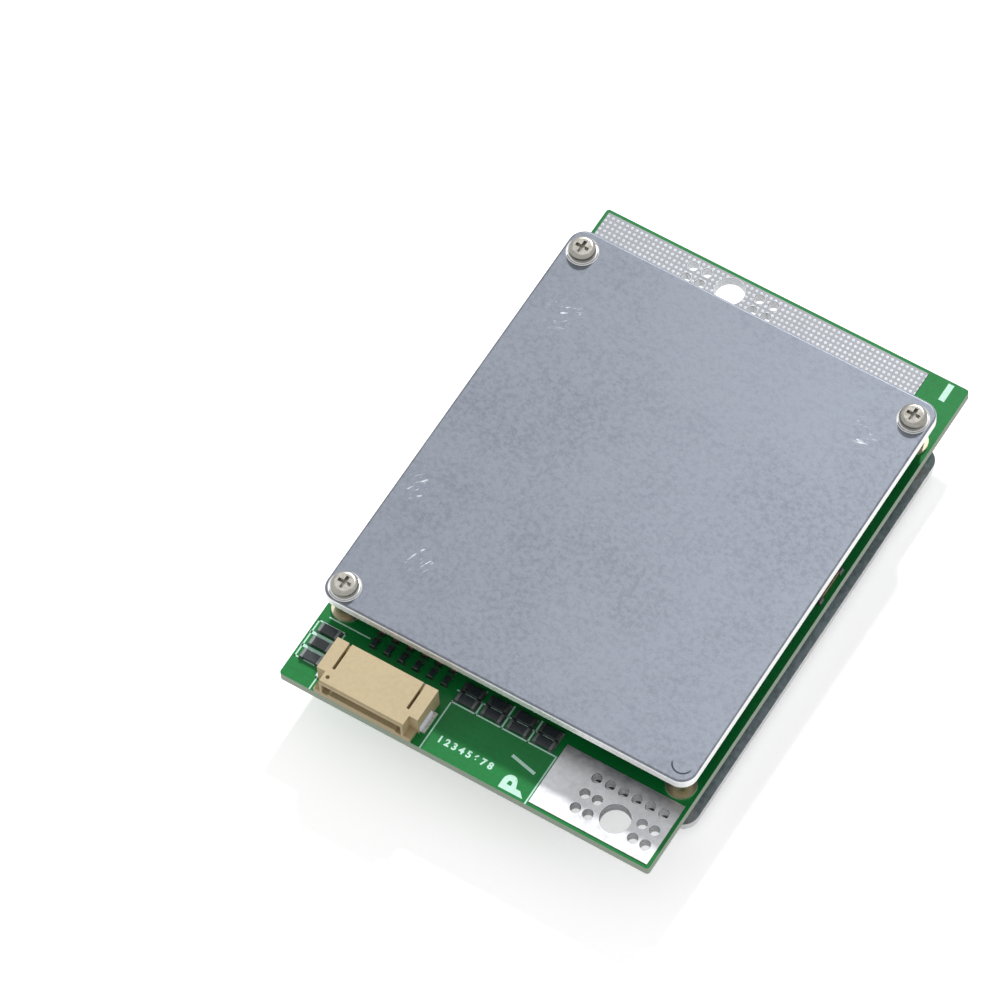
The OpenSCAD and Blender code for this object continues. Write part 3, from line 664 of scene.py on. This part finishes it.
class BOARD_OT_metalwork(bpy.types.Operator):
    """Finishes the plates, screws and spacers, and adds the rings pressed by the heads"""
    bl_idname = "board.metalwork"
    bl_label = "Plates, screws and spacers"

    def execute(self, context):
        sizes = context.scene.board_sizes
        dress(context, "top_plate", "top_heat_plate")
        dress(context, "bottom_plate", "bottom_heat_plate")
        dress(context, "brass", "upper_spacers", "lower_spacers")
        dress(context, "screw", "top_screws", "bottom_screws")
        bm = bmesh.new()
        face = PLATE_HIGH.z
        for middle, half in centres("top_screws"):
            r = half.x
            w = sizes.dimple_width
            turned(bm, [(r - 0.1 * MM, face - 0.05 * MM), (r, face + 0.05 * MM),
                        (r + w * 0.35, face + 0.015 * MM),
                        (r + w * 0.8, face + 0.07 * MM), (r + w, face), (r + w, face - 0.05 * MM),
                        (r - 0.1 * MM, face - 0.05 * MM)], (middle.x, middle.y), 48)
        bmesh.ops.recalc_face_normals(bm, faces=bm.faces)
        piece_from(bm, "screw_seats", finish_named(context, "dimple"))
        return {"FINISHED"}


# ---------------------------------------------------------------- header


class BOARD_OT_header(bpy.types.Operator):
    """Builds the moulded header with rounded edges and its soldered metalwork"""
    bl_idname = "board.header"
    bl_label = "Sense header"

    def execute(self, context):
        sizes = context.scene.board_sizes
        softened(context, "header_housing", "sense_header_housing", "header",
                 sizes.header_bevel, 2)
        dress(context, "lead", "header_contacts", "header_tabs")
        return {"FINISHED"}


# ---------------------------------------------------------------- parts


class BOARD_OT_power_stage(bpy.types.Operator):
    """Finishes the power transistors, their leads and the gap pads"""
    bl_idname = "board.power_stage"
    bl_label = "Power stage"

    def execute(self, context):
        sizes = context.scene.board_sizes
        for side in ("upper", "lower"):
            for kind in ("discharge", "charge"):
                softened(context, f"{side}_{kind}_mosfets", f"{side}_{kind}_mosfet_mouldings", "package",
                         sizes.package_bevel)
                dress(context, "lead", f"{side}_{kind}_leads")
            dress(context, "gap_pad", f"{side}_thermal_pad")
        return {"FINISHED"}


CHIP_GROUPS = ("balance_resistor", "sense_resistor", "filter_resistor", "filter_capacitor",
               "current_shunt")


class BOARD_OT_small_parts(bpy.types.Operator):
    """Finishes the chip parts, the sense electronics and their solder joints"""
    bl_idname = "board.small_parts"
    bl_label = "Small parts"

    def execute(self, context):
        sizes = context.scene.board_sizes
        finishes = {"filter_capacitor": "capacitor", "current_shunt": "shunt"}
        joints = bmesh.new()
        for kind in CHIP_GROUPS:
            softened(context, kind + "s", kind + "_bodies", finishes.get(kind, "chip"),
                     sizes.chip_bevel, 1)
            dress(context, "chip_end", kind + "_ends")
            for middle, half in centres(kind + "_ends"):
                self.fillet(joints, middle, half, sizes.solder_spread)
        piece_from(joints, "solder_joints", finish_named(context, "chip_end"))
        for node in ("balance_transistors", "supply_regulator", "monitor_chip"):
            softened(context, node, node + "_moulding", "package", sizes.package_bevel)
        dress(context, "lead", "balance_transistor_leads", "supply_regulator_leads", "monitor_chip_leads")
        return {"FINISHED"}

    def fillet(self, bm, middle, half, spread):
        """Solder that climbs a chip's end: a block whose top draws in."""
        base = middle.z - half.z
        wide = Vector((half.x + spread, half.y + spread * 0.5, 0))
        verts = block(bm, (middle.x - wide.x, middle.y - wide.y, base),
                      (middle.x + wide.x, middle.y + wide.y, base + half.z * 1.3))
        top = [v for v in verts if v.co.z > base + half.z]
        bmesh.ops.scale(bm, vec=(half.x / wide.x * 0.96, half.y / wide.y * 0.98, 1.0), verts=top,
                        space=Matrix.Translation(-Vector((middle.x, middle.y, 0))))


# ---------------------------------------------------------------- stage


CAMERA = {"azimuth": 33.507, "elevation": 60.705, "roll": -2.586, "distance": 1.0047,
          "focal": 7159.6, "offset": (126.91, 30.05)}
IMAGE = 1001.0
SENSOR = 36.0
FLOOR_GLOW = 0.5
KEY_ENERGY = 3.0
KEY_ANGLE = 5.0
KEY_DIRECTION = (0.22, -0.76, -0.62)
AMBIENT = 0.55


def aim_camera():
    """Stands the camera where the object is seen from, and turns it to frame the object."""
    a, e, r = (math.radians(CAMERA[k]) for k in ("azimuth", "elevation", "roll"))
    back = Vector((math.sin(a) * math.cos(e), -math.cos(a) * math.cos(e), math.sin(e)))
    level = Vector((math.cos(a), math.sin(a), 0.0))
    lifted = back.cross(level)
    right = level * math.cos(r) + lifted * math.sin(r)
    up = -level * math.sin(r) + lifted * math.cos(r)
    x, y = (value / CAMERA["focal"] for value in CAMERA["offset"])
    ahead = (-back - right * x + up * y).normalized()
    side = ahead.cross(up).normalized()
    rise = side.cross(ahead)
    data = bpy.data.cameras.new("view_camera")
    data.sensor_width = SENSOR
    data.lens = CAMERA["focal"] / IMAGE * SENSOR
    data.clip_start, data.clip_end = 0.05, 20.0
    camera = bpy.data.objects.new("view_camera", data)
    target = Vector((0.0, 0.0, BOARD_TOP))
    turn = Matrix((side, rise, -ahead)).transposed()
    camera.matrix_world = Matrix.Translation(target + back * CAMERA["distance"]) @ turn.to_4x4()
    bpy.context.scene.collection.objects.link(camera)
    bpy.context.scene.camera = camera


def floor_material():
    made, tree, shader, _ = start_material("pale_floor", Base_Color=(0.93, 0.93, 0.93), Roughness=0.9)
    glow = add(tree, "ShaderNodeEmission", Color=(1, 1, 1, 1))
    seen = tree.nodes.new("ShaderNodeLightPath")
    gate = maths(tree, "MULTIPLY", seen.outputs["Is Camera Ray"], FLOOR_GLOW)
    tree.links.new(gate, glow.inputs["Strength"])
    both = add(tree, "ShaderNodeAddShader", i0=shader.outputs["BSDF"], i1=glow.outputs["Emission"])
    tree.links.new(both.outputs[0], tree.nodes["Material Output"].inputs["Surface"])
    return made


class BOARD_OT_stage(bpy.types.Operator):
    """Sets up the pale floor, the soft studio light and the camera"""
    bl_idname = "board.stage"
    bl_label = "Stage"

    def execute(self, context):
        aim_camera()
        bm = bmesh.new()
        bmesh.ops.create_grid(bm, x_segments=1, y_segments=1, size=4.0)
        data = bpy.data.meshes.new("floor")
        bm.to_mesh(data)
        bm.free()
        data.materials.append(floor_material())
        floor = bpy.data.objects.new("floor", data)
        context.scene.collection.objects.link(floor)
        sun_data = bpy.data.lights.new("key_light", "SUN")
        sun_data.energy = KEY_ENERGY
        sun_data.angle = math.radians(KEY_ANGLE)
        sun = bpy.data.objects.new("key_light", sun_data)
        sun.rotation_euler = Vector(KEY_DIRECTION).to_track_quat("-Z", "Y").to_euler()
        context.scene.collection.objects.link(sun)
        world = bpy.data.worlds.new("studio")
        world.use_nodes = True
        tree = world.node_tree
        seen = tree.nodes.new("ShaderNodeLightPath")
        direct = maths(tree, "MAXIMUM", seen.outputs["Is Camera Ray"], seen.outputs["Is Glossy Ray"])
        clear = maths(tree, "MAXIMUM", direct, seen.outputs["Is Transmission Ray"])
        strength = add(tree, "ShaderNodeMapRange", Value=clear, To_Min=AMBIENT, To_Max=1.0)
        tree.links.new(strength.outputs["Result"], tree.nodes["Background"].inputs["Strength"])
        tree.nodes["Background"].inputs["Color"].default_value = (1.0, 1.0, 1.0, 1.0)
        context.scene.world = world
        context.scene.view_settings.view_transform = "Standard"
        return {"FINISHED"}


# ---------------------------------------------------------------- add-on


class BOARD_PT_panel(bpy.types.Panel):
    """Lists the steps that finish the board"""
    bl_idname = "BOARD_PT_panel"
    bl_label = "Battery management board"
    bl_space_type = "VIEW_3D"
    bl_region_type = "UI"
    bl_category = "Board"

    def draw(self, context):
        for step in STEPS:
            self.layout.operator(step.bl_idname)
        for group in (context.scene.board_colours, context.scene.board_sizes):
            for key in group.bl_rna.properties.keys():
                if key not in ("rna_type", "name"):
                    self.layout.prop(group, key)


STEPS = (BOARD_OT_stage, BOARD_OT_board, BOARD_OT_print, BOARD_OT_metalwork, BOARD_OT_header,
         BOARD_OT_power_stage, BOARD_OT_small_parts)
CLASSES = (BoardColours, BoardSizes, *STEPS, BOARD_PT_panel)


def register():
    for item in CLASSES:
        bpy.utils.register_class(item)
    bpy.types.Scene.board_colours = PointerProperty(type=BoardColours)
    bpy.types.Scene.board_sizes = PointerProperty(type=BoardSizes)


def unregister():
    del bpy.types.Scene.board_sizes
    del bpy.types.Scene.board_colours
    for item in reversed(CLASSES):
        bpy.utils.unregister_class(item)


def main():
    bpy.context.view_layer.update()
    register()
    bpy.ops.board.stage()
    bpy.ops.board.laminate()
    bpy.ops.board.silkscreen()
    bpy.ops.board.metalwork()
    bpy.ops.board.header()
    bpy.ops.board.power_stage()
    bpy.ops.board.small_parts()


if __name__ == "__main__":
    main()
